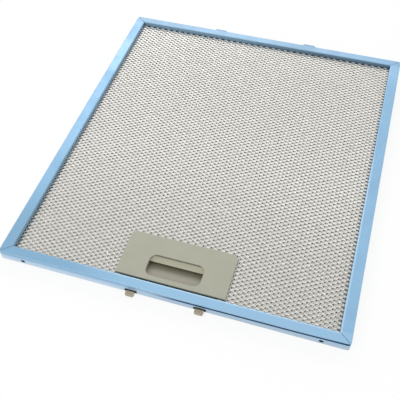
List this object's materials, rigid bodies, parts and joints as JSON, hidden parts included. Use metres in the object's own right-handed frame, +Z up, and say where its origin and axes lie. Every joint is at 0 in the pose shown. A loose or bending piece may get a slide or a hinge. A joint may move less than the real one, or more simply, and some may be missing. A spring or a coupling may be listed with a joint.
{
  "type": "cooker hood grease filter",
  "caption": "Flat cooker hood grease filter: blue-filmed folded aluminium frame, expanded-metal pack and a sprung grey finger latch",
  "frame": {"origin": "middle of the back face that the filter lies on", "axes": "+X along the latch side, +Y from the latch side to the lug side, +Z up, out of the face with the handle"},
  "size_m": [0.267, 0.3136, 0.009],
  "materials": {
    "filmed_aluminium": "aluminium channel under a pale blue protective film",
    "expanded_aluminium": "bare expanded aluminium, slightly bright on the strands",
    "beige_plastic": "fine-grained grey-beige moulding",
    "dark_plastic": "plain dark grey moulding",
    "spring_steel": "bare spring steel strip"
  },
  "bodies": {
    "filter": {"frame": "filmed_aluminium", "front_mesh": "expanded_aluminium", "inner_mesh_1": "expanded_aluminium", "inner_mesh_2": "expanded_aluminium", "inner_mesh_3": "expanded_aluminium", "back_mesh": "expanded_aluminium", "latch_cassette": "dark_plastic", "return_spring": "spring_steel"},
    "latch": {"handle": "beige_plastic"}
  },
  "joints": [
    {"name": "latch_slide", "type": "slide", "parent": "filter", "child": "latch", "axis": [0, 1, 0], "range_m": [0, 0.005], "stiffness_N_per_m": 300, "springref_m": -0.01, "deforming": ["return_spring"]}
  ]
}
